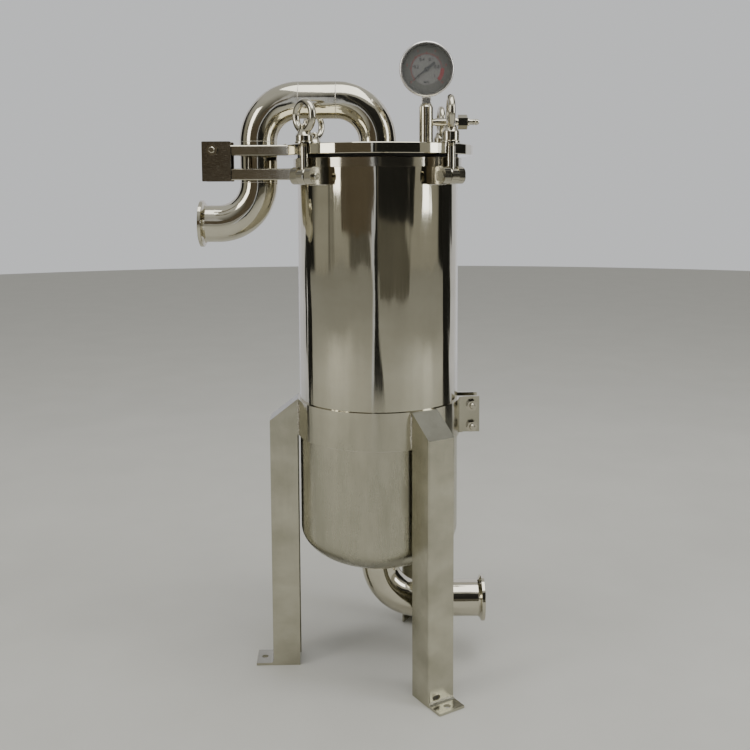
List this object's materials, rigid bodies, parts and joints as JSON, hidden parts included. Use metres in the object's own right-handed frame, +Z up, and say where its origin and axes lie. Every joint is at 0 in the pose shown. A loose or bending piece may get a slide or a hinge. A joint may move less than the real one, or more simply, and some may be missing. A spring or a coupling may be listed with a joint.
{
  "type": "bag filter housing",
  "caption": "Upright stainless bag filter housing on clamped legs, with a hinged swing-bolt lid carrying the inlet pipe, a pressure gauge and an air vent.",
  "frame": {"origin": "on the vessel's axis at floor level, in the plane of the undersides of the feet", "axes": "+Z up along the vessel's axis, +X towards the outlet, -X towards the inlet and the hinge, -Y towards the side with the gauge's face"},
  "size_m": [0.3915, 0.3215, 0.8617],
  "materials": {
    "polished_steel": "mirror-polished stainless",
    "pipe_steel": "bright polished tube",
    "satin_steel": "satin sheet",
    "cast_steel": "polished castings and fasteners",
    "dull_plate": "brownish heat-tinted plate",
    "gasket_black": "black rubber",
    "bag_felt": "white felt",
    "ring_plastic": "white moulded",
    "gauge_steel": "satin pressed",
    "dial_face": "printed dial",
    "pointer_black": "matt black",
    "lens_glass": "clear"
  },
  "bodies": {
    "vessel": {"shell": "polished_steel", "dished_head": "polished_steel", "body_flange": "cast_steel", "bolt_lugs": "cast_steel", "lug_pins": "cast_steel", "outlet_elbow": "pipe_steel", "outlet_ferrule": "pipe_steel", "lid_gasket": "gasket_black", "hinge_support": "cast_steel", "hinge_cheeks": "dull_plate", "hinge_bolt": "cast_steel", "hinge_nut": "cast_steel", "leg_band": "polished_steel", "band_bolts": "cast_steel", "band_washers": "cast_steel", "band_nuts": "cast_steel", "leg_front": "satin_steel", "leg_left": "satin_steel", "leg_rear": "satin_steel", "basket": "satin_steel", "basket_ring": "satin_steel", "filter_bag": "bag_felt", "bag_ring": "ring_plastic", "lid_plate": "polished_steel", "lid_arm": "cast_steel", "inlet_lid_bend": "pipe_steel", "inlet_bridge": "pipe_steel", "inlet_outer_bend": "pipe_steel", "inlet_drop": "pipe_steel", "inlet_elbow": "pipe_steel", "inlet_ferrule": "pipe_steel", "gauge_socket": "cast_steel", "gauge_stem": "gauge_steel", "gauge_case": "gauge_steel", "gauge_bezel": "gauge_steel", "gauge_dial": "dial_face", "gauge_movement": "gauge_steel", "gauge_lens": "lens_glass", "vent_nipple": "cast_steel", "vent_tip": "cast_steel"},
    "gauge_pointer": {"gauge_pointer": "pointer_black"},
    "vent_nut": {"vent_nut": "cast_steel"},
    "swing_bolt_fr": {"swing_bolt_fr": "cast_steel"},
    "eye_nut_fr": {"eye_nut_fr": "cast_steel", "clamp_washer_fr": "cast_steel"},
    "swing_bolt_fl": {"swing_bolt_fl": "cast_steel"},
    "eye_nut_fl": {"eye_nut_fl": "cast_steel", "clamp_washer_fl": "cast_steel"},
    "swing_bolt_br": {"swing_bolt_br": "cast_steel"},
    "eye_nut_br": {"eye_nut_br": "cast_steel", "clamp_washer_br": "cast_steel"},
    "swing_bolt_bl": {"swing_bolt_bl": "cast_steel"},
    "eye_nut_bl": {"eye_nut_bl": "cast_steel", "clamp_washer_bl": "cast_steel"}
  },
  "joints": [
    {"name": "swing_bolt_fr_pin", "type": "hinge", "parent": "vessel", "child": "swing_bolt_fr", "pos_m": [0.09263, -0.09263, 0.6846], "axis": [0.7071, 0.7071, 0], "range_deg": [0, 150]},
    {"name": "eye_nut_fr_spin", "type": "hinge", "parent": "swing_bolt_fr", "child": "eye_nut_fr", "pos_m": [0.09263, -0.09263, 0.74], "axis": [0, 0, 1], "continuous": true},
    {"name": "swing_bolt_fl_pin", "type": "hinge", "parent": "vessel", "child": "swing_bolt_fl", "pos_m": [-0.09263, -0.09263, 0.6846], "axis": [0.7071, -0.7071, 0], "range_deg": [0, 150]},
    {"name": "eye_nut_fl_spin", "type": "hinge", "parent": "swing_bolt_fl", "child": "eye_nut_fl", "pos_m": [-0.09263, -0.09263, 0.74], "axis": [0, 0, 1], "continuous": true},
    {"name": "swing_bolt_br_pin", "type": "hinge", "parent": "vessel", "child": "swing_bolt_br", "pos_m": [0.09263, 0.09263, 0.6846], "axis": [-0.7071, 0.7071, 0], "range_deg": [0, 150]},
    {"name": "eye_nut_br_spin", "type": "hinge", "parent": "swing_bolt_br", "child": "eye_nut_br", "pos_m": [0.09263, 0.09263, 0.74], "axis": [0, 0, 1], "continuous": true},
    {"name": "swing_bolt_bl_pin", "type": "hinge", "parent": "vessel", "child": "swing_bolt_bl", "pos_m": [-0.09263, 0.09263, 0.6846], "axis": [-0.7071, -0.7071, 0], "range_deg": [0, 150]},
    {"name": "eye_nut_bl_spin", "type": "hinge", "parent": "swing_bolt_bl", "child": "eye_nut_bl", "pos_m": [-0.09263, 0.09263, 0.74], "axis": [0, 0, 1], "continuous": true},
    {"name": "gauge_pointer_spin", "type": "hinge", "parent": "vessel", "child": "gauge_pointer", "pos_m": [0.065, -0.0328, 0.8254], "axis": [0, 1, 0], "range_deg": [0, 260], "stiffness_Nm_per_rad": 0.002},
    {"name": "vent_nut_turn", "type": "hinge", "parent": "vessel", "child": "vent_nut", "pos_m": [0.1137, -0.025, 0.757], "axis": [1, 0, 0], "continuous": true}
  ]
}
